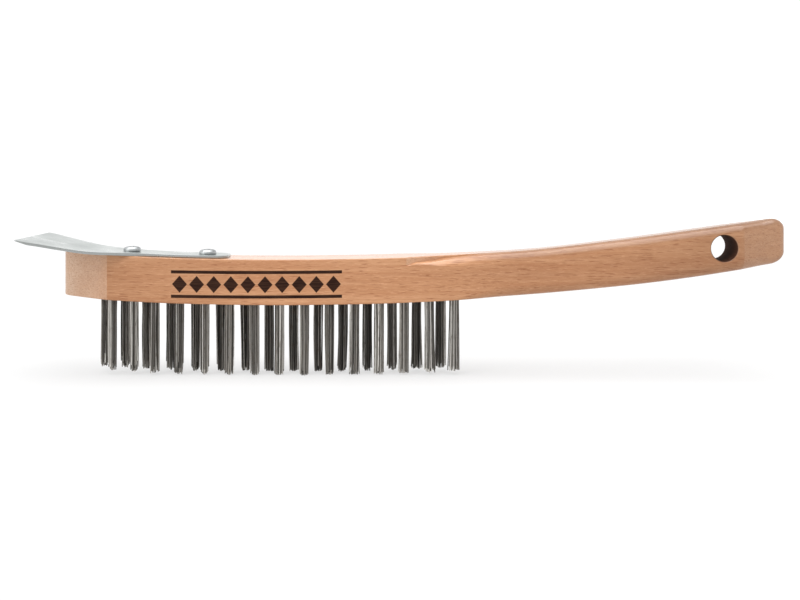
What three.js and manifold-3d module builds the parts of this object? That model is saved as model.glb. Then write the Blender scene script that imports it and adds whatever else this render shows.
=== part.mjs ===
// Curved-handle wire scratch brush with a steel scraper blade.
//
// Millimetres, +Z up. The brush stands on its wire tips.
// x runs along the brush from the scraper's cutting edge (-x) to the end of
// the handle (+x), y runs across it, and the brush is symmetric about y = 0.
// Dimensions called *_X are measured from the nose tip of the wooden block;
// the group is shifted at the end so that x = 0 is the middle of the brush.

import * as THREE from 'three';
import { mergeVertices } from 'three/addons/utils/BufferGeometryUtils.js';
import Module from 'manifold-3d';

// ---- wooden block: head and handle are one piece of beech ----
const BLOCK_LENGTH = 335.1;
const HEAD_HALF_WIDTH = 12.5;
const HANDLE_HALF_WIDTH = 9.2;
const NOSE_RADIUS = 7;              // rounded tip of the pointed nose, in plan
const NOSE_SHOULDER_X = 22.1;       // where the nose tapers reach full width
const NECK_START_X = 158.4;         // where the head begins to narrow
const NECK_END_X = 232;             // where the handle has its own width
const HEAD_EDGE_RADIUS = 0.6;       // sanded edges of the head
const HANDLE_EDGE_RADIUS = 5;       // rounded-over edges of the handle
const ROUNDING_START_X = 160;
const ROUNDING_END_X = 205;
const END_TAPER_X = 313.4;          // start of the taper at the handle's end, in plan
const END_TIP_X = 331;              // end of that taper
const END_TIP_HALF_WIDTH = 4.2;
const END_CORNER_RADIUS = 6.5;      // rounded corners of the handle's end, from the side

// underside of the block above the wire tips, and its thickness
const UNDERSIDE = [[0, 37.0], [22.4, 35.35], [47, 34.0], [72, 33.3], [97, 33.0], [122, 33.2], [147, 33.7],
  [172, 34.7], [197, 35.95], [222, 37.6], [247, 39.85], [272, 42.5], [297, 45.9], [317, 49.1], [335.1, 52.0]];
const THICKNESS = [[0, 20.7], [97, 20.8], [147, 20.75], [182, 20.5], [217, 20.45], [247, 21.1], [277, 21.65],
  [302, 21.6], [335.1, 20.8]];

const HANG_HOLE_X = 304.75;
const HANG_HOLE_Z = 58.7;
const HANG_HOLE_RADIUS = 6;

// ---- wire tufts: two staggered rows of round bundles in blind holes ----
const TUFT_PITCH = 11.56;
const NOSE_TUFT_PITCH = 9.7;        // the first tufts of each row stand closer
const ROW_Y = 4.75;
const ROWS = [
  // [row, y, x of the first tuft, tufts at the nose pitch, tufts in all]
  ['near', -ROW_Y, 22.9, 2, 15],
  ['far', ROW_Y, 17.45, 2, 15],
];
const WIRE_LENGTH = 33.0;           // free length below the block
const TUFT_RADIUS_TOP = 1.95;       // at the anchored end, inside the hole
const TUFT_RADIUS_TIP = 2.35;
const TUFT_HOLE_RADIUS = 2.45;
const TUFT_HOLE_DEPTH = 12.5;

// ---- scraper: one bent steel plate screwed on top of the head ----
const PLATE_THICKNESS = 1.2;
const BLADE_EDGE_X = -15.6;
const BLADE_EDGE_TOP_Z = 63.8;
const BLADE_EDGE_THICKNESS = 0.5;
const BLADE_HALF_WIDTH = 28;
const BLADE_STRAIGHT_X = -9;        // end of the full-width part of the blade
const TONGUE_HALF_WIDTH = 10;
const TONGUE_START_X = 38.5;        // where the flare has narrowed to the tongue
const BEND_X = 13.4;
const TONGUE_END_X = 76.4;
const TONGUE_CORNER = 6;
const SCREW_X = [31, 66.3];
const PLATE_HOLE_RADIUS = 2.3;

// ---- pan-head wood screws ----
const SCREW_HEAD_RADIUS = 4;
const SCREW_HEAD_HEIGHT = 2.3;
const SCREW_SHANK_RADIUS = 1.75;
const SCREW_LENGTH = 13;
const PILOT_RADIUS = 2.1;

const GAP = 0.3;                    // clearance between pieces that touch

const wasm = await Module();
wasm.setup();

// ---------------------------------------------------------------- helpers

// Smooth curve through [x, value] points.
function curve(points) {
  const n = points.length;
  const m = points.map((p, i) => {
    const a = points[Math.max(0, i - 1)], b = points[Math.min(n - 1, i + 1)];
    return (b[1] - a[1]) / (b[0] - a[0]);
  });
  return (x) => {
    let i = 0;
    while (i < n - 2 && x > points[i + 1][0]) i++;
    const [x0, y0] = points[i], [x1, y1] = points[i + 1], h = x1 - x0, t = (x - x0) / h;
    return (2 * t ** 3 - 3 * t ** 2 + 1) * y0 + (t ** 3 - 2 * t ** 2 + t) * h * m[i]
      + (-2 * t ** 3 + 3 * t ** 2) * y1 + (t ** 3 - t ** 2) * h * m[i + 1];
  };
}

const smooth = (a, b, x) => {
  const t = Math.min(1, Math.max(0, (x - a) / (b - a)));
  return t * t * (3 - 2 * t);
};

function toManifold(geometry) {
  let g = geometry.clone();
  g.deleteAttribute('normal');
  g.deleteAttribute('uv');
  g = mergeVertices(g, 1e-4);
  return new wasm.Manifold(new wasm.Mesh({
    numProp: 3,
    vertProperties: new Float32Array(g.attributes.position.array),
    triVerts: new Uint32Array(g.index.array),
  }));
}

function toGeometry(solid) {
  const mesh = solid.getMesh();
  const g = new THREE.BufferGeometry();
  const n = mesh.vertProperties.length / mesh.numProp;
  const position = new Float32Array(n * 3);
  for (let i = 0; i < n; i++) {
    for (let k = 0; k < 3; k++) position[3 * i + k] = mesh.vertProperties[i * mesh.numProp + k];
  }
  g.setAttribute('position', new THREE.BufferAttribute(position, 3));
  g.setIndex(new THREE.BufferAttribute(new Uint32Array(mesh.triVerts), 1));
  g.computeVertexNormals();
  return g;
}

// Closed skin over a row of rings with the same number of points each. The
// rings run anticlockwise seen from +x, in order of rising x.
function loft(rings) {
  const n = rings[0].length, position = [], index = [];
  for (const ring of rings) for (const p of ring) position.push(...p);
  for (let s = 0; s < rings.length - 1; s++) {
    for (let i = 0; i < n; i++) {
      const a = s * n + i, b = s * n + (i + 1) % n, c = a + n, d = b + n;
      index.push(a, b, c, b, d, c);
    }
  }
  for (const [s, flip] of [[0, true], [rings.length - 1, false]]) {
    const mid = position.length / 3;
    const centre = [0, 1, 2].map((k) => rings[s].reduce((sum, p) => sum + p[k], 0) / n);
    position.push(...centre);
    for (let i = 0; i < n; i++) {
      const a = s * n + i, b = s * n + (i + 1) % n;
      index.push(...(flip ? [mid, b, a] : [mid, a, b]));
    }
  }
  const g = new THREE.BufferGeometry();
  g.setAttribute('position', new THREE.BufferAttribute(new Float32Array(position), 3));
  g.setIndex(index);
  return g;
}

// A round solid of revolution standing along z.
function turned(profile, segments) {
  const g = new THREE.LatheGeometry(profile.map(([r, z]) => new THREE.Vector2(r, z)), segments);
  g.rotateX(Math.PI / 2);
  return g;
}

function steel(color, roughness) {
  return new THREE.MeshStandardMaterial({ color, roughness, metalness: 1 });
}

const group = new THREE.Group();

function add(name, geometry, material, x = 0, y = 0, z = 0) {
  const mesh = new THREE.Mesh(geometry, material);
  mesh.name = name;
  mesh.position.set(x, y, z);
  group.add(mesh);
  return mesh;
}

// ----------------------------------------------------------- wooden block

const underside = curve(UNDERSIDE);
const thickness = curve(THICKNESS);
const endDrop = (x) => {
  const t = x - (BLOCK_LENGTH - END_CORNER_RADIUS);
  return t <= 0 ? 0 : END_CORNER_RADIUS - Math.sqrt(Math.max(0, END_CORNER_RADIUS ** 2 - t * t));
};
const blockBottom = (x) => underside(x) + 0.8 * endDrop(x);
const blockTop = (x) => underside(x) + thickness(x) - 0.85 * endDrop(x);

// Where the nose taper touches the nose's round tip.
const noseDX = NOSE_SHOULDER_X - NOSE_RADIUS;
const noseAngle = Math.atan2(HEAD_HALF_WIDTH, noseDX)
  + Math.acos(NOSE_RADIUS / Math.hypot(HEAD_HALF_WIDTH, noseDX));
const NOSE_TOUCH_X = NOSE_RADIUS + NOSE_RADIUS * Math.cos(noseAngle);
const NOSE_TOUCH_Y = NOSE_RADIUS * Math.sin(noseAngle);

function halfWidth(x) {
  if (x < NOSE_TOUCH_X) return Math.sqrt(Math.max(1.2, NOSE_RADIUS ** 2 - (x - NOSE_RADIUS) ** 2));
  if (x < NOSE_SHOULDER_X) {
    return NOSE_TOUCH_Y + (HEAD_HALF_WIDTH - NOSE_TOUCH_Y) * (x - NOSE_TOUCH_X) / (NOSE_SHOULDER_X - NOSE_TOUCH_X);
  }
  if (x < END_TAPER_X) {
    return HEAD_HALF_WIDTH - (HEAD_HALF_WIDTH - HANDLE_HALF_WIDTH) * smooth(NECK_START_X, NECK_END_X, x);
  }
  if (x < END_TIP_X) {
    return HANDLE_HALF_WIDTH
      - (HANDLE_HALF_WIDTH - END_TIP_HALF_WIDTH) * (x - END_TAPER_X) / (END_TIP_X - END_TAPER_X);
  }
  const t = (x - END_TIP_X) / (BLOCK_LENGTH - END_TIP_X);
  return END_TIP_HALF_WIDTH * Math.sqrt(Math.max(0.06, 1 - t * t));
}

function blockRing(x) {
  const w = halfWidth(x), lo = blockBottom(x), hi = blockTop(x);
  const wanted = HEAD_EDGE_RADIUS
    + (HANDLE_EDGE_RADIUS - HEAD_EDGE_RADIUS) * smooth(ROUNDING_START_X, ROUNDING_END_X, x);
  const r = Math.min(wanted, 0.8 * w, 0.45 * (hi - lo));
  const ring = [];
  for (const [cy, cz, start] of [[w - r, hi - r, 0], [-w + r, hi - r, 90], [-w + r, lo + r, 180], [w - r, lo + r, 270]]) {
    for (let k = 0; k <= 3; k++) {
      const a = THREE.MathUtils.degToRad(start + 30 * k);
      ring.push([x, cy + r * Math.cos(a), cz + r * Math.sin(a)]);
    }
  }
  return ring;
}

const blockStations = [0, 0.6, 1.6, 2.9, NOSE_TOUCH_X, 12, NOSE_SHOULDER_X, 36, 50, 66, 82, 98, 114, 130, 146,
  NECK_START_X, 166, 174, 182, 190, 198, 206, 215, 224, NECK_END_X, 242, 254, 266, 278, 290, 302, END_TAPER_X, 322,
  328, END_TIP_X, 333, 334.4, BLOCK_LENGTH];
let block = toManifold(loft(blockStations.map(blockRing)));

const hangHole = new THREE.CylinderGeometry(HANG_HOLE_RADIUS, HANG_HOLE_RADIUS, 60, 24);
hangHole.translate(HANG_HOLE_X, 0, HANG_HOLE_Z);
block = block.subtract(toManifold(hangHole));

// ------------------------------------------------------------------ tufts

const tufts = [];
for (const [row, y, first, close, count] of ROWS) {
  for (let i = 0; i < count; i++) {
    const x = first + NOSE_TUFT_PITCH * Math.min(i, close) + TUFT_PITCH * Math.max(0, i - close);
    tufts.push({ name: `tuft_${row}_${String(i + 1).padStart(2, '0')}`, x, y });
  }
}

// Each tuft is the outer shape of its bundle of folded wires, with the anchor
// staple inside the fold.
for (const t of tufts) {
  const face = blockBottom(t.x);
  const hole = turned([[0, -5], [TUFT_HOLE_RADIUS, -5], [TUFT_HOLE_RADIUS, TUFT_HOLE_DEPTH], [0, TUFT_HOLE_DEPTH]], 8);
  hole.rotateZ(Math.PI / 8);
  hole.translate(t.x, t.y, face);
  block = block.subtract(toManifold(hole));

  const length = WIRE_LENGTH + TUFT_HOLE_DEPTH - GAP;
  const bundle = turned([[0, 0], [TUFT_RADIUS_TIP, 0], [TUFT_RADIUS_TOP, length], [0, length]], 8);
  bundle.rotateZ(Math.PI / 8);
  add(t.name, bundle, steel(0x76716d, 0.5), t.x, t.y, face - WIRE_LENGTH);
}

// ---------------------------------------------------------------- scraper

const plateHalfWidth = (x) => {
  if (x <= BLADE_STRAIGHT_X) return BLADE_HALF_WIDTH;
  if (x < TONGUE_START_X) {
    const t = (x - BLADE_STRAIGHT_X) / (TONGUE_START_X - BLADE_STRAIGHT_X);
    return BLADE_HALF_WIDTH - (BLADE_HALF_WIDTH - TONGUE_HALF_WIDTH) * t;
  }
  const t = x - (TONGUE_END_X - TONGUE_CORNER);
  return t <= 0 ? TONGUE_HALF_WIDTH
    : TONGUE_HALF_WIDTH - TONGUE_CORNER + Math.sqrt(Math.max(0, TONGUE_CORNER ** 2 - t * t));
};
const plateBottom = (x) => {
  const seat = (u) => blockTop(u) + GAP;
  if (x >= BEND_X) return seat(x);
  const tip = BLADE_EDGE_TOP_Z - BLADE_EDGE_THICKNESS;
  return seat(BEND_X) + (tip - seat(BEND_X)) * (BEND_X - x) / (BEND_X - BLADE_EDGE_X);
};
const plateThickness = (x) => BLADE_EDGE_THICKNESS
  + (PLATE_THICKNESS - BLADE_EDGE_THICKNESS) * Math.min(1, (x - BLADE_EDGE_X) / 6);

const plateStations = [BLADE_EDGE_X, -9.6, BLADE_STRAIGHT_X, 4, BEND_X, 22, 30, TONGUE_START_X, 46, 54, 62, 70.4, 72.5,
  74.3, 75.6, TONGUE_END_X];
let plate = toManifold(loft(plateStations.map((x) => {
  const w = plateHalfWidth(x), lo = plateBottom(x), hi = lo + plateThickness(x);
  return [[x, w, lo], [x, w, hi], [x, -w, hi], [x, -w, lo]];
})));

// ----------------------------------------------------------------- screws

SCREW_X.forEach((x, i) => {
  const seat = blockTop(x) + GAP + PLATE_THICKNESS;

  const plateHole = new THREE.CylinderGeometry(PLATE_HOLE_RADIUS, PLATE_HOLE_RADIUS, 20, 16);
  plateHole.rotateX(Math.PI / 2);
  plateHole.translate(x, 0, seat);
  plate = plate.subtract(toManifold(plateHole));

  const pilot = turned([[0, 0], [PILOT_RADIUS, 0], [PILOT_RADIUS, 20], [0, 20]], 12);
  pilot.translate(x, 0, seat + GAP - SCREW_LENGTH - 0.5);
  block = block.subtract(toManifold(pilot));

  const r = SCREW_HEAD_RADIUS, h = SCREW_HEAD_HEIGHT, s = SCREW_SHANK_RADIUS;
  let screw = toManifold(turned([[0, -SCREW_LENGTH], [s * 0.25, -SCREW_LENGTH + 0.4], [s, -SCREW_LENGTH + 4], [s, 0],
    [r, 0], [r, 0.45 * h], [0.85 * r, 0.8 * h], [0.5 * r, h], [0, h]], 16));
  for (const turn of [0, Math.PI / 2]) {
    const wing = new THREE.BoxGeometry(4, 0.9, 3);
    wing.rotateZ(Math.PI / 4 + turn);
    wing.translate(0, 0, h + 0.1);
    screw = screw.subtract(toManifold(wing));
  }
  add(['screw_front', 'screw_rear'][i], toGeometry(screw), steel(0xc4c8c6, 0.3), x, 0, seat + GAP);
});

add('scraper_plate', toGeometry(plate), steel(0xb9c2be, 0.32));
add('handle_block', toGeometry(block), new THREE.MeshStandardMaterial({ color: 0xc48f6b, roughness: 0.5, metalness: 0 }));

group.position.x = -(BLADE_EDGE_X + BLOCK_LENGTH) / 2;

export default group;
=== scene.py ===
import math

import bmesh
import bpy
import numpy as np
from mathutils import Matrix, Vector


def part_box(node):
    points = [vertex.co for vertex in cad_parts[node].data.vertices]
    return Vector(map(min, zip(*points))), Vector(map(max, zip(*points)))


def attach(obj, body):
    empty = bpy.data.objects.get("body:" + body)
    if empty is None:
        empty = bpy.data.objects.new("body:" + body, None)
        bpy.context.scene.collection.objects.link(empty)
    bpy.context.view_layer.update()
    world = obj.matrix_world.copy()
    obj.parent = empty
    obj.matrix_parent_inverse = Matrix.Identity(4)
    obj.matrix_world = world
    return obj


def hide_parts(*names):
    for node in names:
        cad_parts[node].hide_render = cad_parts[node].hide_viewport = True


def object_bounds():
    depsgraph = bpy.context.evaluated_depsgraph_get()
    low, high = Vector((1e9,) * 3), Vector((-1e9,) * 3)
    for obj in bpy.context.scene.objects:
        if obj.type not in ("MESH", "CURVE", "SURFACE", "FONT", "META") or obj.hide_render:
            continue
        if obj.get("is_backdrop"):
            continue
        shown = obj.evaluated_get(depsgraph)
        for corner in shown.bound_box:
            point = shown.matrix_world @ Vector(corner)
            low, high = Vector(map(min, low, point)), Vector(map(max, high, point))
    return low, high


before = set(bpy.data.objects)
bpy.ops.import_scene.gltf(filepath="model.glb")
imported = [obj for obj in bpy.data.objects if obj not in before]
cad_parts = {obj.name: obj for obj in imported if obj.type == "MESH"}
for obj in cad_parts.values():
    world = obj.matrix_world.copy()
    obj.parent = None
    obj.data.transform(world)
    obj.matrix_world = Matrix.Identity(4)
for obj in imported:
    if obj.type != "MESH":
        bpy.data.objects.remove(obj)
cad_lo, cad_hi = (list(v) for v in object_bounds())

MM = 0.001
block_lo, block_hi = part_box("handle_block")
NOSE = block_lo[0]  # x of the nose tip; the shapes below are in mm from it
FLOOR = cad_lo[2]


# ------------------------------------------------------------------ helpers


def curve(points):
    """Smooth curve through (x, value) points."""
    n = len(points)
    m = []
    for i in range(n):
        a, b = points[max(0, i - 1)], points[min(n - 1, i + 1)]
        m.append((b[1] - a[1]) / (b[0] - a[0]))

    def at(x):
        i = 0
        while i < n - 2 and x > points[i + 1][0]:
            i += 1
        (x0, y0), (x1, y1) = points[i], points[i + 1]
        h = x1 - x0
        t = (x - x0) / h
        return (
            (2 * t**3 - 3 * t**2 + 1) * y0
            + (t**3 - 2 * t**2 + t) * h * m[i]
            + (-2 * t**3 + 3 * t**2) * y1
            + (t**3 - t**2) * h * m[i + 1]
        )

    return at


def clamp01(t):
    return min(1.0, max(0.0, t))


def smooth(a, b, x):
    t = clamp01((x - a) / (b - a))
    return t * t * (3 - 2 * t)


def line(points, x):
    """Straight-line interpolation, held level past the ends."""
    xs, ys = zip(*points)
    return float(np.interp(x, xs, ys))


def make_object(name, verts_mm, faces, from_nose=True):
    """A mesh object from points in mm: x from the nose tip, z from the surface the brush stands on."""
    v = np.asarray(verts_mm, float) * MM
    if from_nose:
        v[:, 0] += NOSE
        v[:, 2] += FLOOR
    mesh = bpy.data.meshes.new(name)
    mesh.from_pydata(v.tolist(), [], faces)
    mesh.validate()
    mesh.update()
    obj = bpy.data.objects.new(name, mesh)
    bpy.context.scene.collection.objects.link(obj)
    return obj


def loft(rings, cap=True):
    """Points and faces of the closed skin over rings of equal count, anticlockwise seen from +x."""
    n = len(rings[0])
    verts = [p for ring in rings for p in ring]
    faces = []
    for s in range(len(rings) - 1):
        for i in range(n):
            a, b = s * n + i, s * n + (i + 1) % n
            faces.append((a, b, b + n, a + n))
    if cap:
        faces.append(tuple(reversed(range(n))))
        last = (len(rings) - 1) * n
        faces.append(tuple(range(last, last + n)))
    return verts, faces


def lathe(profile, segments):
    """Points and faces of a solid of revolution about z; the profile runs from axis to axis, bottom first."""
    verts, faces = [], []
    rings = []
    for r, z in profile:
        if r < 1e-9:
            rings.append([len(verts)])
            verts.append((0.0, 0.0, z))
        else:
            start = len(verts)
            for k in range(segments):
                a = 2 * math.pi * k / segments
                verts.append((r * math.cos(a), r * math.sin(a), z))
            rings.append(list(range(start, start + segments)))
    for lower, upper in zip(rings, rings[1:]):
        for k in range(segments):
            j = (k + 1) % segments
            if len(lower) == 1:
                faces.append((lower[0], upper[j], upper[k]))
            elif len(upper) == 1:
                faces.append((lower[k], lower[j], upper[0]))
            else:
                faces.append((lower[k], lower[j], upper[j], upper[k]))
    return verts, faces


def moved(verts, matrix):
    return [tuple(matrix @ Vector(v)) for v in verts]


def shade(obj, sharp_degrees):
    obj.data.polygons.foreach_set("use_smooth", [True] * len(obj.data.polygons))
    obj.data.set_sharp_from_angle(angle=math.radians(sharp_degrees))
    obj.data.update()


def cut(obj, cutters):
    """Cuts the (verts, faces) cutters, in mm, out of obj."""
    verts, faces = [], []
    for v, f in cutters:
        base = len(verts)
        verts += v
        faces += [tuple(i + base for i in face) for face in f]
    tool = make_object(obj.name + "_tool", verts, faces)
    mod = obj.modifiers.new("cut", "BOOLEAN")
    mod.operation = "DIFFERENCE"
    mod.solver = "EXACT"
    mod.use_self = False
    mod.object = tool
    bpy.context.view_layer.update()
    done = bpy.data.meshes.new_from_object(
        obj.evaluated_get(bpy.context.evaluated_depsgraph_get())
    )
    obj.modifiers.clear()
    old = obj.data
    obj.data = done
    bpy.data.meshes.remove(old)
    bpy.data.objects.remove(tool)
    bm = bmesh.new()
    bm.from_mesh(done)
    bmesh.ops.remove_doubles(bm, verts=bm.verts, dist=1e-6)
    bmesh.ops.dissolve_degenerate(bm, edges=bm.edges, dist=1e-6)
    bm.to_mesh(done)
    bm.free()


# ------------------------------------------------------------ node materials


class Nodes:
    """A thin wrapper that adds and links shader nodes."""

    def __init__(self, name):
        self.mat = bpy.data.materials.new(name)
        self.mat.use_nodes = True
        self.tree = self.mat.node_tree
        self.tree.nodes.clear()
        self.out = self.add("ShaderNodeOutputMaterial")
        self.bsdf = self.add("ShaderNodeBsdfPrincipled")
        self.link(self.bsdf.outputs[0], self.out.inputs[0])

    def add(self, kind, **props):
        node = self.tree.nodes.new(kind)
        for k, v in props.items():
            setattr(node, k, v)
        return node

    def link(self, a, b):
        self.tree.links.new(a, b)

    def put(self, socket, value):
        if isinstance(value, (int, float, tuple, list)):
            socket.default_value = value
        else:
            self.link(value, socket)

    def coords(self, scale, offset=(0, 0, 0)):
        tc = self.add("ShaderNodeTexCoord")
        mp = self.add("ShaderNodeMapping")
        mp.inputs["Scale"].default_value = scale
        mp.inputs["Location"].default_value = offset
        self.link(tc.outputs["Object"], mp.inputs["Vector"])
        return mp.outputs[0]

    def noise(self, scale, offset=(0, 0, 0), detail=2.0, rough=0.5, distortion=0.0, vector=None):
        """Noise over object coordinates; scale is cycles per metre along x, y, z."""
        n = self.add("ShaderNodeTexNoise")
        n.inputs["Scale"].default_value = 1.0
        n.inputs["Detail"].default_value = detail
        n.inputs["Roughness"].default_value = rough
        n.inputs["Distortion"].default_value = distortion
        self.link(vector if vector is not None else self.coords(scale, offset), n.inputs["Vector"])
        return n.outputs["Fac"]

    def ramp(self, fac, stops, interpolation="LINEAR"):
        r = self.add("ShaderNodeValToRGB")
        r.color_ramp.interpolation = interpolation
        el = r.color_ramp.elements
        el[0].position, el[1].position = stops[0][0], stops[-1][0]
        el[0].color, el[1].color = rgba(stops[0][1]), rgba(stops[-1][1])
        for pos, col in stops[1:-1]:
            e = el.new(pos)
            e.color = rgba(col)
        self.link(fac, r.inputs[0])
        return r.outputs[0]

    def math(self, op, a, b=0.0, c=0.0, clamp=False):
        m = self.add("ShaderNodeMath", operation=op, use_clamp=clamp)
        for i, v in enumerate((a, b, c)):
            if i < len(m.inputs):
                self.put(m.inputs[i], v)
        return m.outputs[0]

    def step(self, value, lo, hi, to_lo=0.0, to_hi=1.0, kind="SMOOTHSTEP"):
        m = self.add("ShaderNodeMapRange", interpolation_type=kind)
        self.put(m.inputs["Value"], value)
        for k, v in (("From Min", lo), ("From Max", hi), ("To Min", to_lo), ("To Max", to_hi)):
            m.inputs[k].default_value = v
        return m.outputs[0]

    def mix(self, fac, a, b, blend="MIX"):
        m = self.add("ShaderNodeMix", data_type="RGBA", blend_type=blend)
        self.put(m.inputs[0], fac)
        for i, v in ((6, a), (7, b)):
            self.put(m.inputs[i], rgba(v) if isinstance(v, (tuple, list)) else v)
        return m.outputs[2]

    def bump(self, height, strength, distance, normal=None):
        b = self.add("ShaderNodeBump")
        b.inputs["Strength"].default_value = strength
        b.inputs["Distance"].default_value = distance
        self.link(height, b.inputs["Height"])
        if normal is not None:
            self.link(normal, b.inputs["Normal"])
        return b.outputs[0]


def rgba(c):
    if isinstance(c, (int, float)):
        return (c, c, c, 1.0)
    return (*c, 1.0) if len(c) == 3 else tuple(c)


def srgb(r, g, b):
    """Linear colour of 0-255 sRGB values."""
    out = []
    for v in (r, g, b):
        v /= 255
        out.append(v / 12.92 if v <= 0.04045 else ((v + 0.055) / 1.055) ** 2.4)
    return tuple(out)


def beech_material():
    n = Nodes("beech_varnished")
    tc = n.add("ShaderNodeTexCoord")
    place = n.add("ShaderNodeSeparateXYZ")
    n.link(tc.outputs["Object"], place.inputs[0])
    axis = n.add("ShaderNodeSeparateXYZ")
    n.link(tc.outputs["Normal"], axis.inputs[0])
    px, py, pz = place.outputs
    # end grain shows where the surface turns to face along the grain
    facing = n.step(n.math("ABSOLUTE", axis.outputs[0]), 0.14, 0.34)
    nose = n.step(px, NOSE + 26 * MM, NOSE + 3 * MM, 0.35, 1.0, "LINEAR")
    tail = n.step(px, NOSE + 309 * MM, NOSE + 321 * MM)
    end = n.math("MAXIMUM", n.math("MULTIPLY", facing, nose), n.math("MULTIPLY", tail, 0.26))

    # slow tone changes along the board
    tone = n.noise((8, 70, 90), (0.4, 0, 0.2), detail=3, rough=0.55)
    base = n.ramp(tone, [(0.28, srgb(164, 115, 81)), (0.5, srgb(177, 127, 90)), (0.72, srgb(187, 139, 102))])
    # growth layers: soft long streaks that follow the board
    streak = n.noise((11, 480, 620), (0.3, 0.1, 0), detail=5, rough=0.62, distortion=0.1)
    base = n.mix(n.step(streak, 0.44, 0.68, 0, 0.38), base, srgb(160, 103, 68))
    base = n.mix(n.step(streak, 0.50, 0.28, 0, 0.30), base, srgb(211, 161, 124))
    # short ray flecks: thin dashes along the grain
    fleck = n.noise((165, 2000, 2300), (2.0, 0, 0), detail=1.5, rough=0.5)
    base = n.mix(n.step(fleck, 0.575, 0.68, 0, 0.62), base, srgb(132, 79, 48))
    fine = n.noise((300, 3400, 3800), (5.0, 1.0, 0), detail=2, rough=0.6)
    base = n.mix(n.step(fine, 0.56, 0.70, 0, 0.42), base, srgb(212, 163, 126))
    base = n.mix(n.step(fine, 0.44, 0.32, 0, 0.30), base, srgb(156, 101, 68))
    # end grain: paler and greyer, with dark pores
    pores = n.noise((1300, 2300, 2500), (1.0, 3.0, 0), detail=2, rough=0.6)
    cut_end = n.mix(n.step(pores, 0.45, 0.72), srgb(212, 181, 157), srgb(177, 139, 112))
    blotch = n.noise((110, 110, 140), (7.0, 0, 0), detail=3)
    cut_end = n.mix(n.step(blotch, 0.4, 0.65, 0, 0.35), cut_end, srgb(196, 155, 126))
    base = n.mix(n.math("MULTIPLY", end, 0.88), base, cut_end)
    # the board is a little darker towards both ends, most of all along the handle
    along = n.math("MULTIPLY", n.math("SUBTRACT", px, NOSE), 1 / (BLOCK_LENGTH * MM))
    shade_of = n.ramp(along, [(0.06, 0.90), (0.15, 0.97), (0.30, 1.06), (0.50, 1.03), (0.62, 0.96), (0.78, 0.93), (0.90, 0.79), (1.0, 0.80)])
    base = n.mix(1.0, base, shade_of, "MULTIPLY")
    # the handle's upper side is painted darker: painted shade that tones down the overhead light on it
    painted_top_shade = n.math("MULTIPLY", n.step(axis.outputs[2], 0.05, 0.6), n.step(px, NOSE + 178 * MM, NOSE + 214 * MM))
    base = n.mix(n.math("MULTIPLY", painted_top_shade, 0.9), base, n.mix(1.0, base, (0.70, 0.70, 0.71), "MULTIPLY"))
    # the drilled wall of the hanging hole is painted dark: painted shade inside the hole, over its darker end grain
    dx = n.math("SUBTRACT", px, NOSE + HANG_X * MM)
    dz = n.math("SUBTRACT", pz, FLOOR + HANG_Z * MM)
    radius = n.math("SQRT", n.math("ADD", n.math("MULTIPLY", dx, dx), n.math("MULTIPLY", dz, dz)))
    hole_wall_shade = n.step(radius, (HANG_R + 0.55) * MM, (HANG_R + 0.1) * MM)
    base = n.mix(n.math("MULTIPLY", hole_wall_shade, 0.96), base, srgb(58, 31, 19))
    burnt = brand_mask(n, px, py, pz, axis.outputs[1])
    base = n.mix(burnt, base, srgb(30, 10, 6))
    n.link(base, n.bsdf.inputs["Base Color"])

    rough = n.noise((60, 900, 900), (0, 2.0, 0), detail=3)
    satin = n.step(rough, 0.3, 0.7, 0.40, 0.54, "LINEAR")
    n.link(n.math("MAXIMUM", satin, n.math("MULTIPLY", n.math("MAXIMUM", hole_wall_shade, burnt), 0.95)), n.bsdf.inputs["Roughness"])
    n.bsdf.inputs["Specular IOR Level"].default_value = 0.16
    # a thin coat of clear varnish, which whitens the faces seen edge-on
    up = n.step(axis.outputs[2], 0.2, 0.9)
    bare = n.math("SUBTRACT", 1.0, n.math("MAXIMUM", hole_wall_shade, burnt))
    n.link(n.math("MULTIPLY", bare, n.math("MULTIPLY_ADD", up, 0.5, 0.3)), n.bsdf.inputs["Coat Weight"])
    n.bsdf.inputs["Coat Roughness"].default_value = 0.20
    n.bsdf.inputs["Coat IOR"].default_value = 1.5
    height = n.math("ADD", n.math("MULTIPLY", streak, 0.6), n.math("MULTIPLY", fleck, -0.5))
    n.link(n.bump(height, 0.25, 0.0002), n.bsdf.inputs["Normal"])
    return n.mat


def brand_mask(n, px, py, pz, ny):
    """A generic burnt border on the head's near side: a row of plain diamonds between two lines."""
    # distances in mm from the middle of the mark
    u = n.math("MULTIPLY", n.math("SUBTRACT", px, NOSE + BRAND_X * MM), 1000.0)
    v = n.math("MULTIPLY", n.math("SUBTRACT", pz, FLOOR + BRAND_Z * MM), 1000.0)
    # follow the bow of the head
    v = n.math("SUBTRACT", v, n.math("MULTIPLY", n.math("MULTIPLY", u, u), BRAND_BOW))
    au, av = n.math("ABSOLUTE", u), n.math("ABSOLUTE", v)
    cell = n.math("ABSOLUTE", n.math("SUBTRACT", n.math("FLOORED_MODULO", u, BRAND_CELL), BRAND_CELL / 2))
    diamond = n.math("ADD", cell, n.math("MULTIPLY", av, 0.88))
    inside = n.step(diamond, 3.55, 3.3)
    rails = n.math("MULTIPLY", n.step(av, 4.75, 4.95), n.step(av, 6.4, 6.2))
    mark = n.math("MAXIMUM", inside, rails)
    length = n.step(au, BRAND_HALF + 0.12, BRAND_HALF - 0.12)
    side = n.step(ny, -0.9, -0.97)
    grain = n.noise((120, 2600, 2600), (9.0, 0, 0), detail=2)
    char = n.step(grain, 0.30, 0.62, 1.0, 0.94, "LINEAR")
    return n.math("MULTIPLY", n.math("MULTIPLY", mark, length), n.math("MULTIPLY", side, char))


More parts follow.
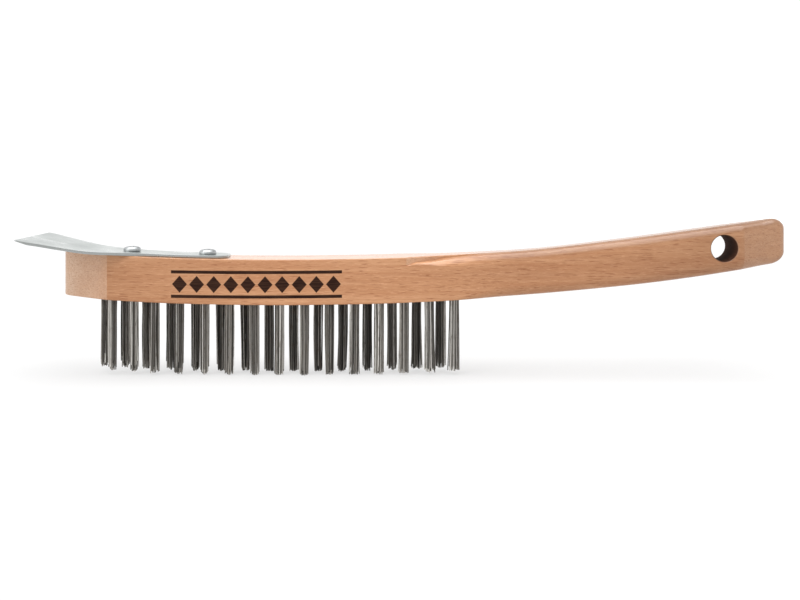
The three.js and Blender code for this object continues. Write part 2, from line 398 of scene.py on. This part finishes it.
def wire_material():
    n = Nodes("brush_wire_steel")
    # the wire attribute holds each wire's tone, with painted shade on the far row of tufts
    at = n.add("ShaderNodeAttribute", attribute_name="wire")
    tone = at.outputs["Fac"]
    base = n.ramp(tone, [(0.0, (0.045, 0.042, 0.038)), (0.35, (0.150, 0.141, 0.128)), (0.7, (0.345, 0.325, 0.297)), (1.0, (0.72, 0.70, 0.66))])
    dirt = n.noise((900, 900, 260), detail=3, rough=0.6)
    base = n.mix(n.step(dirt, 0.52, 0.72, 0, 0.45), base, srgb(92, 78, 62))
    n.link(base, n.bsdf.inputs["Base Color"])
    n.bsdf.inputs["Metallic"].default_value = 0.9
    n.link(n.step(dirt, 0.3, 0.7, 0.34, 0.55, "LINEAR"), n.bsdf.inputs["Roughness"])
    drawn = n.noise((6000, 6000, 400), detail=2)
    n.link(n.bump(drawn, 0.2, 0.00005), n.bsdf.inputs["Normal"])
    return n.mat


def plate_material():
    n = Nodes("scraper_rolled_steel")
    tone = n.noise((40, 40, 40), detail=4, rough=0.6)
    base = n.ramp(tone, [(0.3, (0.49, 0.525, 0.51)), (0.7, (0.62, 0.655, 0.64))])
    rolled = n.noise((70, 2600, 300), detail=3, rough=0.65)
    base = n.mix(n.step(rolled, 0.35, 0.65, 0, 0.35), base, (0.37, 0.40, 0.39))
    # the sheared edges are dull, and these sideways faces are also painted darker as painted shade
    axis = n.add("ShaderNodeSeparateXYZ")
    n.link(n.add("ShaderNodeTexCoord").outputs["Normal"], axis.inputs[0])
    sheared_edge_shade = n.step(n.math("ABSOLUTE", axis.outputs[2]), 0.75, 0.35)
    base = n.mix(n.math("MULTIPLY", sheared_edge_shade, 0.8), base, (0.33, 0.34, 0.335))
    n.link(base, n.bsdf.inputs["Base Color"])
    n.bsdf.inputs["Metallic"].default_value = 1.0
    smear = n.noise((55, 80, 80), (4, 0, 0), detail=4, rough=0.6)
    n.link(n.step(smear, 0.3, 0.7, 0.22, 0.40, "LINEAR"), n.bsdf.inputs["Roughness"])
    n.link(n.bump(rolled, 0.18, 0.00008), n.bsdf.inputs["Normal"])
    return n.mat


def screw_material():
    n = Nodes("screw_bright_zinc")
    tone = n.noise((500, 500, 500), detail=3, rough=0.6)
    base = n.ramp(tone, [(0.3, (0.38, 0.395, 0.40)), (0.7, (0.54, 0.56, 0.565))])
    n.link(base, n.bsdf.inputs["Base Color"])
    n.bsdf.inputs["Metallic"].default_value = 1.0
    n.link(n.step(tone, 0.3, 0.7, 0.36, 0.50, "LINEAR"), n.bsdf.inputs["Roughness"])
    n.link(n.bump(tone, 0.12, 0.00005), n.bsdf.inputs["Normal"])
    return n.mat


# -------------------------------------------------------------- wooden block

BLOCK_LENGTH = 335.1
HEAD_HALF_WIDTH = 12.5
HANDLE_HALF_WIDTH = 9.2
NOSE_RADIUS = 7.0
NOSE_SHOULDER_X = 22.1
NECK_START_X = 158.4
NECK_END_X = 232.0
END_TAPER_X = 313.4
END_TIP_X = 331.0
END_TIP_HALF_WIDTH = 4.2
END_CORNER_RADIUS = 6.5
ROUND = 5.0  # the handle's rounded-over edges
EASE = 0.55  # the head's sanded edges
HANG_X, HANG_Z, HANG_R = 304.75, 58.7, 6.0
# the burnt mark on the head's near side
BRAND_X, BRAND_Z, BRAND_HALF = 90.2, 42.4, 39.0
BRAND_CELL, BRAND_BOW = 7.8, 0.00022

underside = curve([(0, 37.0), (22.4, 35.35), (47, 34.0), (72, 33.3), (97, 33.0), (122, 33.2), (147, 33.7),
                   (172, 34.7), (197, 35.95), (222, 37.6), (247, 39.85), (272, 42.5), (297, 45.9), (317, 49.1),
                   (335.1, 52.0)])
thickness = curve([(0, 20.7), (97, 20.8), (147, 20.75), (182, 20.5), (217, 20.45), (247, 21.1), (277, 21.65),
                   (302, 21.6), (335.1, 20.8)])


def end_drop(x):
    t = x - (BLOCK_LENGTH - END_CORNER_RADIUS)
    return 0.0 if t <= 0 else END_CORNER_RADIUS - math.sqrt(max(0.0, END_CORNER_RADIUS**2 - t * t))


def block_bottom(x):
    return underside(x) + 0.8 * end_drop(x)


def block_top(x):
    return underside(x) + thickness(x) - 0.85 * end_drop(x)


_dx = NOSE_SHOULDER_X - NOSE_RADIUS
_angle = math.atan2(HEAD_HALF_WIDTH, _dx) + math.acos(NOSE_RADIUS / math.hypot(HEAD_HALF_WIDTH, _dx))
TOUCH_X = NOSE_RADIUS + NOSE_RADIUS * math.cos(_angle)
TOUCH_Y = NOSE_RADIUS * math.sin(_angle)


def half_width(x):
    if x < TOUCH_X:
        return math.sqrt(max(0.16, NOSE_RADIUS**2 - (x - NOSE_RADIUS) ** 2))
    if x < NOSE_SHOULDER_X:
        return TOUCH_Y + (HEAD_HALF_WIDTH - TOUCH_Y) * (x - TOUCH_X) / (NOSE_SHOULDER_X - TOUCH_X)
    if x < END_TAPER_X:
        return HEAD_HALF_WIDTH - (HEAD_HALF_WIDTH - HANDLE_HALF_WIDTH) * smooth(NECK_START_X, NECK_END_X, x)
    if x < END_TIP_X:
        return HANDLE_HALF_WIDTH - (HANDLE_HALF_WIDTH - END_TIP_HALF_WIDTH) * (x - END_TAPER_X) / (END_TIP_X - END_TAPER_X)
    t = (x - END_TIP_X) / (BLOCK_LENGTH - END_TIP_X)
    return END_TIP_HALF_WIDTH * math.sqrt(max(0.03, 1 - t * t))


def shoulder(x):
    """(how deep the upper rounding has cut in, the height of the step left above it)"""
    u = x - NECK_START_X
    run = 24.0
    if u <= 0:
        deep = 0.0
    elif u >= run:
        deep = 1.0
    else:
        deep = (2 * run * u - u * u) / (run * run)
    step = line([(0, 3.6), (4.6, 2.5), (13.8, 1.9), (20, 1.15), (28, 0.6), (36, 0.12)], u)
    return deep, step


def half_ring(x):
    """The section's right half (+y) from the middle of the top to the middle of the underside."""
    w, lo, hi = half_width(x), block_bottom(x), block_top(x)
    h = hi - lo
    deep, step = shoulder(x)
    big = min(ROUND, 0.80 * w, 0.42 * h)
    d = deep * big
    theta = math.asin(clamp01(d / big)) if d > 0 else 0.0
    ease = min(EASE, 0.55 * step, 0.5 * w)
    pts = []
    inner = w - d - ease
    for k in (0.0, 0.35, 0.7, 0.93):
        pts.append((inner * k, hi))
    for k in range(5):
        a = math.radians(90 - 22.5 * k)
        pts.append((inner + ease * math.cos(a), hi - ease + ease * math.sin(a)))
    for k in (0.35, 0.9):
        pts.append((w - d, hi - ease - (step - ease) * k))
    pad = 0.6 * (1 - deep) + 0.02
    for k in range(11):
        phi = theta * k / 10
        pts.append((w - d + big * math.sin(phi), hi - step - big * (1 - math.cos(phi)) - pad * k / 10))
    z_hi = pts[-1][1]
    turn = smooth(178.0, 206.0, x)
    rb = min(EASE + (ROUND - EASE) * turn, 0.80 * w, 0.42 * h)
    z_lo = lo + rb
    for k in (0.03, 0.2, 0.4, 0.6, 0.8, 0.97):
        pts.append((w, z_hi + (z_lo - z_hi) * k))
    for k in range(9):
        a = math.radians(-11.25 * k)
        pts.append((w - rb + rb * math.cos(a), lo + rb + rb * math.sin(a)))
    for k in (0.93, 0.7, 0.35):
        pts.append(((w - rb) * k, lo))
    pts.append((0.0, lo))
    return pts


def block_ring(x):
    right = half_ring(x)
    left = [(-y, z) for y, z in reversed(right[1:-1])]
    # anticlockwise seen from +x: +y to the right, +z up, so the right half is walked from the underside up
    loop = [*reversed(right), *reversed(left)]
    return [(x, y, z) for y, z in loop]


def block_stations():
    xs = [NOSE_RADIUS * (1 - math.cos(math.radians(a))) for a in (3.3, 6, 10, 15, 20, 26, 32, 38, 44, 50, 56, 62)]
    xs = [x for x in xs if x < TOUCH_X - 0.1]
    xs += [TOUCH_X, TOUCH_X + 0.4]
    xs += list(np.arange(6, NOSE_SHOULDER_X - 0.6, 1.4))
    xs += [NOSE_SHOULDER_X - 0.25, NOSE_SHOULDER_X, NOSE_SHOULDER_X + 0.25]
    xs += list(np.arange(24, 156, 2.0))
    xs += list(np.arange(156, 212, 0.7))
    xs += list(np.arange(212, 312, 1.6))
    xs += [END_TAPER_X - 0.8, END_TAPER_X, END_TAPER_X + 0.8]
    xs += list(np.arange(315.2, END_TIP_X - 0.9, 1.0))
    xs += [END_TIP_X - 0.5, END_TIP_X, END_TIP_X + 0.5]
    xs += [END_TIP_X + (BLOCK_LENGTH - END_TIP_X) * math.sin(math.radians(a)) for a in (14, 24, 34, 44, 54, 62, 69, 75, 80)]
    return sorted(set(round(float(x), 4) for x in xs))


TUFTS = []
for row, y, first in (("near", -4.75, 22.9), ("far", 4.75, 17.45)):
    for i in range(15):
        TUFTS.append((f"tuft_{row}_{i + 1:02d}", first + 9.7 * min(i, 2) + 11.56 * max(0, i - 2), y))

SCREWS = (("screw_front", 31.0), ("screw_rear", 66.3))
WIRE_HOLE_R = 2.5


def build_block():
    verts, faces = loft([block_ring(x) for x in block_stations()])
    obj = make_object("beech_block", verts, faces)
    cutters = []
    for _, x, y in TUFTS:
        z = block_bottom(x)
        r = WIRE_HOLE_R
        v, f = lathe([(0, z - 4), (r + 0.28, z - 4), (r + 0.28, z + 0.02), (r, z + 0.35), (r, z + 11.6), (0, z + 12.4)], 22)
        cutters.append((moved(v, Matrix.Translation((x, y, 0))), f))
    for _, x in SCREWS:
        z = block_top(x)
        v, f = lathe([(0, z - 12), (1.5, z - 11), (1.5, z + 3), (0, z + 3)], 20)
        cutters.append((moved(v, Matrix.Translation((x, 0, 0))), f))
    # the hanging hole, with a rim eased by a countersink
    e, w, r = 0.8, HANDLE_HALF_WIDTH, HANG_R
    side = [(r + e * (1 - math.cos(math.radians(a))), w - e + e * math.sin(math.radians(a))) for a in (0, 22.5, 45, 67.5, 86)]
    half = [*side, (r + e, w + 6)]
    profile = [(0, -(w + 6)), *[(rr, -zz) for rr, zz in reversed(half)], *half, (0, w + 6)]
    v, f = lathe(profile, 72)
    v = moved(v, Matrix.Translation((HANG_X, 0, HANG_Z)) @ Matrix.Rotation(math.radians(90), 4, "X"))
    cutters.append((v, f))
    cut(obj, cutters)
    shade(obj, 20)
    return obj


# ------------------------------------------------------------------- scraper

PLATE_T = 1.2
BLADE_X = -15.6
BLADE_TOP_Z = 63.8
BLADE_T = 0.35
BLADE_HALF = 28.0
STRAIGHT_X = -9.0
TONGUE_HALF = 10.0
TONGUE_X = 38.5
BEND_X = 13.4
TONGUE_END = 76.4
TONGUE_CORNER = 6.0
SEAT = 0.06


def plate_half(x):
    flare = BLADE_HALF - (BLADE_HALF - TONGUE_HALF) * (x - STRAIGHT_X) / (TONGUE_X - STRAIGHT_X)
    # both corners of the flare are rounded in plan
    k = 2.5
    w = -k * math.log(math.exp(-BLADE_HALF / k) + math.exp(-flare / k))
    k = 1.2
    w = k * math.log(math.exp(TONGUE_HALF / k) + math.exp(w / k))
    if x < STRAIGHT_X + 3:
        w = w + (BLADE_HALF - w) * smooth(STRAIGHT_X + 3, STRAIGHT_X - 4, x) if x > STRAIGHT_X - 4 else BLADE_HALF
    t = x - (TONGUE_END - TONGUE_CORNER)
    if t > 0:
        w -= TONGUE_CORNER - math.sqrt(max(0.02, TONGUE_CORNER**2 - t * t))
    front = BLADE_X + 0.8 - x
    if front > 0:
        w -= 0.8 - math.sqrt(max(0.0, 0.8**2 - front**2))
    return w


def plate_bottom(x):
    seat = lambda u: block_top(u) + SEAT
    slope_in = (seat(BEND_X + 2.5) - seat(BEND_X + 3.5)) / 1.0
    tip_z = BLADE_TOP_Z - PLATE_T
    z0 = seat(BEND_X)
    rise = (tip_z - z0) / (BEND_X - BLADE_X)
    bend = 6.0
    if x >= BEND_X + bend:
        return seat(x)
    flat = seat(max(x, BEND_X)) + slope_in * max(0.0, BEND_X - x)
    blade = z0 + rise * (BEND_X - x)
    if x <= BEND_X - bend:
        return blade
    t = (x - (BEND_X - bend)) / (2 * bend)
    a, b = z0 + rise * bend, seat(BEND_X + bend)
    m0, m1 = -rise * 2 * bend, (seat(BEND_X + bend + 0.5) - seat(BEND_X + bend - 0.5)) * 2 * bend
    return (2 * t**3 - 3 * t**2 + 1) * a + (t**3 - 2 * t**2 + t) * m0 + (-2 * t**3 + 3 * t**2) * b + (t**3 - t**2) * m1


def plate_ring(x):
    w, lo = plate_half(x), plate_bottom(x)
    hi = lo + PLATE_T
    # the edge is ground from below
    lo = max(lo, hi - (BLADE_T + (PLATE_T - BLADE_T) * clamp01((x - BLADE_X) / 5.5)))
    e = min(0.22, 0.4 * (hi - lo), 0.5 * w)
    ring = []
    across = (0.0, 0.25, 0.5, 0.75, 0.95, 0.995)
    bottom = [((w - e) * k, lo) for k in across]
    corner = [(w - e + e * math.sin(math.radians(a)), lo + e - e * math.cos(math.radians(a))) for a in (0, 30, 60, 90)]
    upper = [(w - e + e * math.cos(math.radians(a)), hi - e + e * math.sin(math.radians(a))) for a in (0, 30, 60, 90)]
    top = [((w - e) * k, hi) for k in reversed(across)]
    right = [*bottom, *corner, *upper, *top]
    left = [(-y, z) for y, z in reversed(right[1:-1])]
    return [(x, y, z) for y, z in [*right, *left]]


def build_plate():
    xs = [BLADE_X + v for v in (0, 0.05, 0.15, 0.35, 0.6, 0.8, 1.2, 2, 3, 4, 5, 5.4, 5.5, 5.6, 6)]
    xs += list(np.arange(-9, TONGUE_END - TONGUE_CORNER, 0.9))
    xs += [TONGUE_END - TONGUE_CORNER + TONGUE_CORNER * math.sin(math.radians(a)) for a in (0, 10, 20, 30, 40, 50, 60, 68, 75, 81, 86)]
    verts, faces = loft([plate_ring(x) for x in sorted(set(round(float(v), 4) for v in xs))])
    obj = make_object("scraper_blade", verts, faces)
    cutters = []
    for _, x in SCREWS:
        z = block_top(x)
        v, f = lathe([(0, z - 3), (2.2, z - 3), (2.2, z + 5), (0, z + 5)], 40)
        cutters.append((moved(v, Matrix.Translation((x, 0, 0))), f))
    cut(obj, cutters)
    shade(obj, 32)
    return obj


# -------------------------------------------------------------------- screws


def build_screw(name, x):
    """A pan-head screw with a cross recess and a threaded shank."""
    seat = block_top(x) + SEAT + PLATE_T + 0.03
    r, h = 4.0, 2.3
    profile = [(0.0, -13.0)]
    for k in range(9):  # thread ridges
        z = -12.2 + k * 1.3
        core = 0.5 + 0.75 * clamp01(k / 3)
        profile += [(core, z), (core + 0.42, z + 0.45), (core, z + 0.9)]
    profile += [(1.4, -0.4), (1.5, 0.0), (r - 0.25, 0.0), (r - 0.07, 0.07), (r, 0.25), (r, 0.95), (r - 0.12, 1.3),
                (r - 0.45, 1.66), (r - 1.0, 1.96), (r - 1.8, 2.18), (r - 2.8, 2.28), (0.0, h)]
    verts, faces = lathe(profile, 56)
    lift = Matrix.Translation((x, 0, seat))
    obj = make_object(name, moved(verts, lift), faces)
    cutters = []
    for turn in (0.6, 0.6 + math.pi / 2):
        # a tapering wing of the cross
        a, b, t0, t1 = 2.15, 1.0, 0.62, 0.42
        v = [(-a, -t0, h + 0.6), (a, -t0, h + 0.6), (a, t0, h + 0.6), (-a, t0, h + 0.6),
             (-b, -t1, h - 1.5), (b, -t1, h - 1.5), (b, t1, h - 1.5), (-b, t1, h - 1.5)]
        f = [(0, 1, 2, 3), (7, 6, 5, 4), (0, 4, 5, 1), (1, 5, 6, 2), (2, 6, 7, 3), (3, 7, 4, 0)]
        cutters.append((moved(v, lift @ Matrix.Rotation(turn, 4, "Z")), f))
    for c in cutters:
        cut(obj, [c])
    shade(obj, 32)
    return obj


# --------------------------------------------------------------------- tufts

WIRE_R = 0.23
WIRES = 38
FREE = 33.0


def pack_points(rng, count, radius):
    """Evenly spread, jittered points in a disc."""
    golden = math.pi * (3 - math.sqrt(5))
    turn = rng.uniform(0, 2 * math.pi)
    pts = []
    for i in range(count):
        rr = radius * math.sqrt((i + 0.5) / count)
        a = turn + i * golden
        pts.append((rr * math.cos(a) + rng.normal(0, 0.05), rr * math.sin(a) + rng.normal(0, 0.05)))
    return pts


def build_tuft(name, x, y, seed):
    rng = np.random.default_rng(seed)
    face = block_bottom(x)
    tip = face - FREE
    verts, faces, tones = [], [], []
    lean = rng.normal(0, 0.22, 2)
    spread = rng.uniform(-0.16, 0.04) + 0.24 * smooth(125, 175, x)
    sides = 6
    levels = (4.5, 0.6, -3.5, -9, -15, -21, -26.0, None)
    # the far row is painted darker, as painted shade behind the near row; the near row is darker towards the nose, and
    # every tuft's tone varies at random
    tuft_tone_and_shade = (0.61 if y < 0 else 0.33) + rng.normal(0, 0.04) + 0.05 * smooth(120, 170, x)
    tuft_tone_and_shade -= 0.13 * smooth(110, 40, x) if y < 0 else 0.0
    for px, py in pack_points(rng, WIRES, WIRE_HOLE_R - WIRE_R - 0.06):
        rr = math.hypot(px, py)
        out = spread * (1 + rng.normal(0, 0.25))
        if rng.random() < 0.06:
            out += rng.uniform(0.15, 0.4)
        end = (px * (1 + out) + lean[0] + rng.normal(0, 0.13), py * (1 + out) + lean[1] + rng.normal(0, 0.13))
        bow = rng.normal(0, 0.14, 2)
        # the outer wires are worn and bent shorter, most of all at the nose
        worn = 3.6 + 7.5 * clamp01((80 - x) / 50)
        ragged = abs(rng.normal(0, 0.9)) + worn * (rr / WIRE_HOLE_R) ** 2.5 * rng.random() ** 1.4
        z_end = max(0.03, tip + ragged - 0.5)
        tilt = rng.normal(0, 0.12, 2)
        tone = clamp01(tuft_tone_and_shade + rng.normal(0, 0.32))
        start = len(verts)
        for s, level in enumerate(levels):
            z = z_end if level is None else face + level
            t = clamp01((face - z) / FREE)
            e = t * t * (1.6 - 0.6 * t)
            cx = px + (end[0] - px) * e + bow[0] * math.sin(math.pi * t)
            cy = py + (end[1] - py) * e + bow[1] * math.sin(math.pi * t)
            for k in range(sides):
                a = 2 * math.pi * k / sides
                dx, dy = WIRE_R * math.cos(a), WIRE_R * math.sin(a)
                dz = (dx * tilt[0] + dy * tilt[1]) * 2 if level is None else 0.0
                verts.append((x + cx + dx, y + cy + dy, max(0.0, z + dz)))
                tones.append(tone)
        n = len(levels)
        for s in range(n - 1):
            for k in range(sides):
                a, b = start + s * sides + k, start + s * sides + (k + 1) % sides
                faces.append((a, a + sides, b + sides, b))
        faces.append(tuple(start + k for k in range(sides)))
        faces.append(tuple(start + (n - 1) * sides + k for k in reversed(range(sides))))
    obj = make_object(name, verts, faces)
    attr = obj.data.attributes.new("wire", "FLOAT", "POINT")
    attr.data.foreach_set("value", tones)
    shade(obj, 65)
    return obj


# ------------------------------------------------------------------ assembly

beech, wire, steel, zinc = beech_material(), wire_material(), plate_material(), screw_material()


def finish_piece(obj, material, slot, *nodes):
    obj.data.materials.clear()
    obj.data.materials.append(material)
    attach(obj, "root")
    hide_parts(*nodes)


finish_piece(build_block(), beech, "beech", "handle_block")
plate = build_plate()
finish_piece(plate, steel, "scraper_steel", "scraper_plate")
for node, x in SCREWS:
    finish_piece(build_screw(node.replace("screw", "pan_screw"), x), zinc, "screw_zinc", node)
for i, (node, x, y) in enumerate(TUFTS):
    finish_piece(build_tuft(node.replace("tuft", "wires"), x, y, 1000 + i), wire, "brush_wire", node)


# --------------------------------------------------------- stage and lighting


def stage_material(name, colour, glow):
    n = Nodes(name)
    n.bsdf.inputs["Base Color"].default_value = rgba(colour)
    n.bsdf.inputs["Roughness"].default_value = 0.9
    n.bsdf.inputs["Specular IOR Level"].default_value = 0.1
    n.bsdf.inputs["Emission Color"].default_value = (1, 1, 1, 1)
    n.bsdf.inputs["Emission Strength"].default_value = glow
    return n.mat


def build_stage(name, profile, material):
    """A sheet across the studio that follows the (y, z) profile."""
    verts, faces = [], []
    for y, z in profile:
        verts += [(-4.0, y, z), (4.0, y, z)]
    for i in range(len(profile) - 1):
        faces.append((2 * i, 2 * i + 1, 2 * i + 3, 2 * i + 2))
    mesh = bpy.data.meshes.new(name)
    mesh.from_pydata([(x, y, z + FLOOR) for x, y, z in verts], [], faces)
    mesh.update()
    obj = bpy.data.objects.new(name, mesh)
    bpy.context.scene.collection.objects.link(obj)
    mesh.polygons.foreach_set("use_smooth", [True] * len(mesh.polygons))
    mesh.materials.append(material)
    obj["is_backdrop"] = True


bend = [(1.3 + 0.5 * math.sin(math.radians(a)), 0.5 - 0.5 * math.cos(math.radians(a))) for a in range(0, 91, 6)]
build_stage("studio_floor", [(-4.0, 0.0), (1.3, 0.0)], stage_material("floor_white", (0.25, 0.25, 0.25), 0.58))
build_stage("studio_backdrop", [*bend, (1.8, 0.72)], stage_material("backdrop_white", (0.36, 0.36, 0.36), 0.76))


def area(name, place, target, size, power):
    light = bpy.data.lights.new(name, "AREA")
    light.shape = "RECTANGLE"
    light.size, light.size_y = size
    light.energy = power
    obj = bpy.data.objects.new(name, light)
    obj.location = place
    obj.rotation_mode = "QUATERNION"
    obj.rotation_quaternion = (Vector(target) - Vector(place)).to_track_quat("-Z", "Y")
    bpy.context.scene.collection.objects.link(obj)


sky = bpy.data.lights.new("overhead_softlight", "SUN")
sky.energy = 3.9
sky.angle = 1.25
sky_obj = bpy.data.objects.new("overhead_softlight", sky)
sky_obj.rotation_mode = "QUATERNION"
sky_obj.rotation_quaternion = Vector((0.10, 0.12, -1.0)).to_track_quat("-Z", "Y")
bpy.context.scene.collection.objects.link(sky_obj)
# The bright plate mirrors the key light when it is seen from above, so it has a weaker one of its own.
weak = bpy.data.lights.new("scraper_softlight", "SUN")
weak.energy = 0.7
weak.angle = 1.25
weak_obj = bpy.data.objects.new("scraper_softlight", weak)
weak_obj.rotation_mode = "QUATERNION"
weak_obj.rotation_quaternion = sky_obj.rotation_quaternion
bpy.context.scene.collection.objects.link(weak_obj)
for light_obj, state in ((sky_obj, "EXCLUDE"), (weak_obj, "INCLUDE")):
    group = bpy.data.collections.new(light_obj.name + "_link")
    group.objects.link(plate)
    group.collection_objects[0].light_linking.link_state = state
    light_obj.light_linking.receiver_collection = group
area("left_fill", (-1.25, -0.75, 0.45), (-0.05, 0, 0.04), (0.9, 0.7), 5)

world = bpy.data.worlds.new("studio")
bpy.context.scene.world = world
world.use_nodes = True
nodes, links = world.node_tree.nodes, world.node_tree.links
# white round the horizon, softer overhead, where the key light is
direction = nodes.new("ShaderNodeTexCoord")
height = nodes.new("ShaderNodeSeparateXYZ")
fade = nodes.new("ShaderNodeMapRange")
fade.interpolation_type = "SMOOTHSTEP"
for socket, value in (("From Min", 0.30), ("From Max", 0.85), ("To Min", 1.0), ("To Max", 0.35)):
    fade.inputs[socket].default_value = value
links.new(direction.outputs["Generated"], height.inputs[0])
links.new(height.outputs[2], fade.inputs["Value"])
background = nodes["Background"]
background.inputs[0].default_value = (1, 1, 1, 1)
links.new(fade.outputs[0], background.inputs[1])

# ----------------------------------------------------------------- the camera

# A level camera a little above the brush and left of its middle: uprights stay parallel, so the framing is a shift.
cam = bpy.data.cameras.new("camera")
cam.lens = 49.5
cam.sensor_width = 36
cam.shift_x = 0.05
cam.shift_y = -0.16875
cam_obj = bpy.data.objects.new("camera", cam)
cam_obj.location = (NOSE + 137.4 * MM, -0.514, FLOOR + 0.097)
cam_obj.rotation_euler = (math.radians(90), 0, 0)
bpy.context.scene.collection.objects.link(cam_obj)
bpy.context.scene.camera = cam_obj
bpy.context.scene.view_settings.view_transform = "Standard"
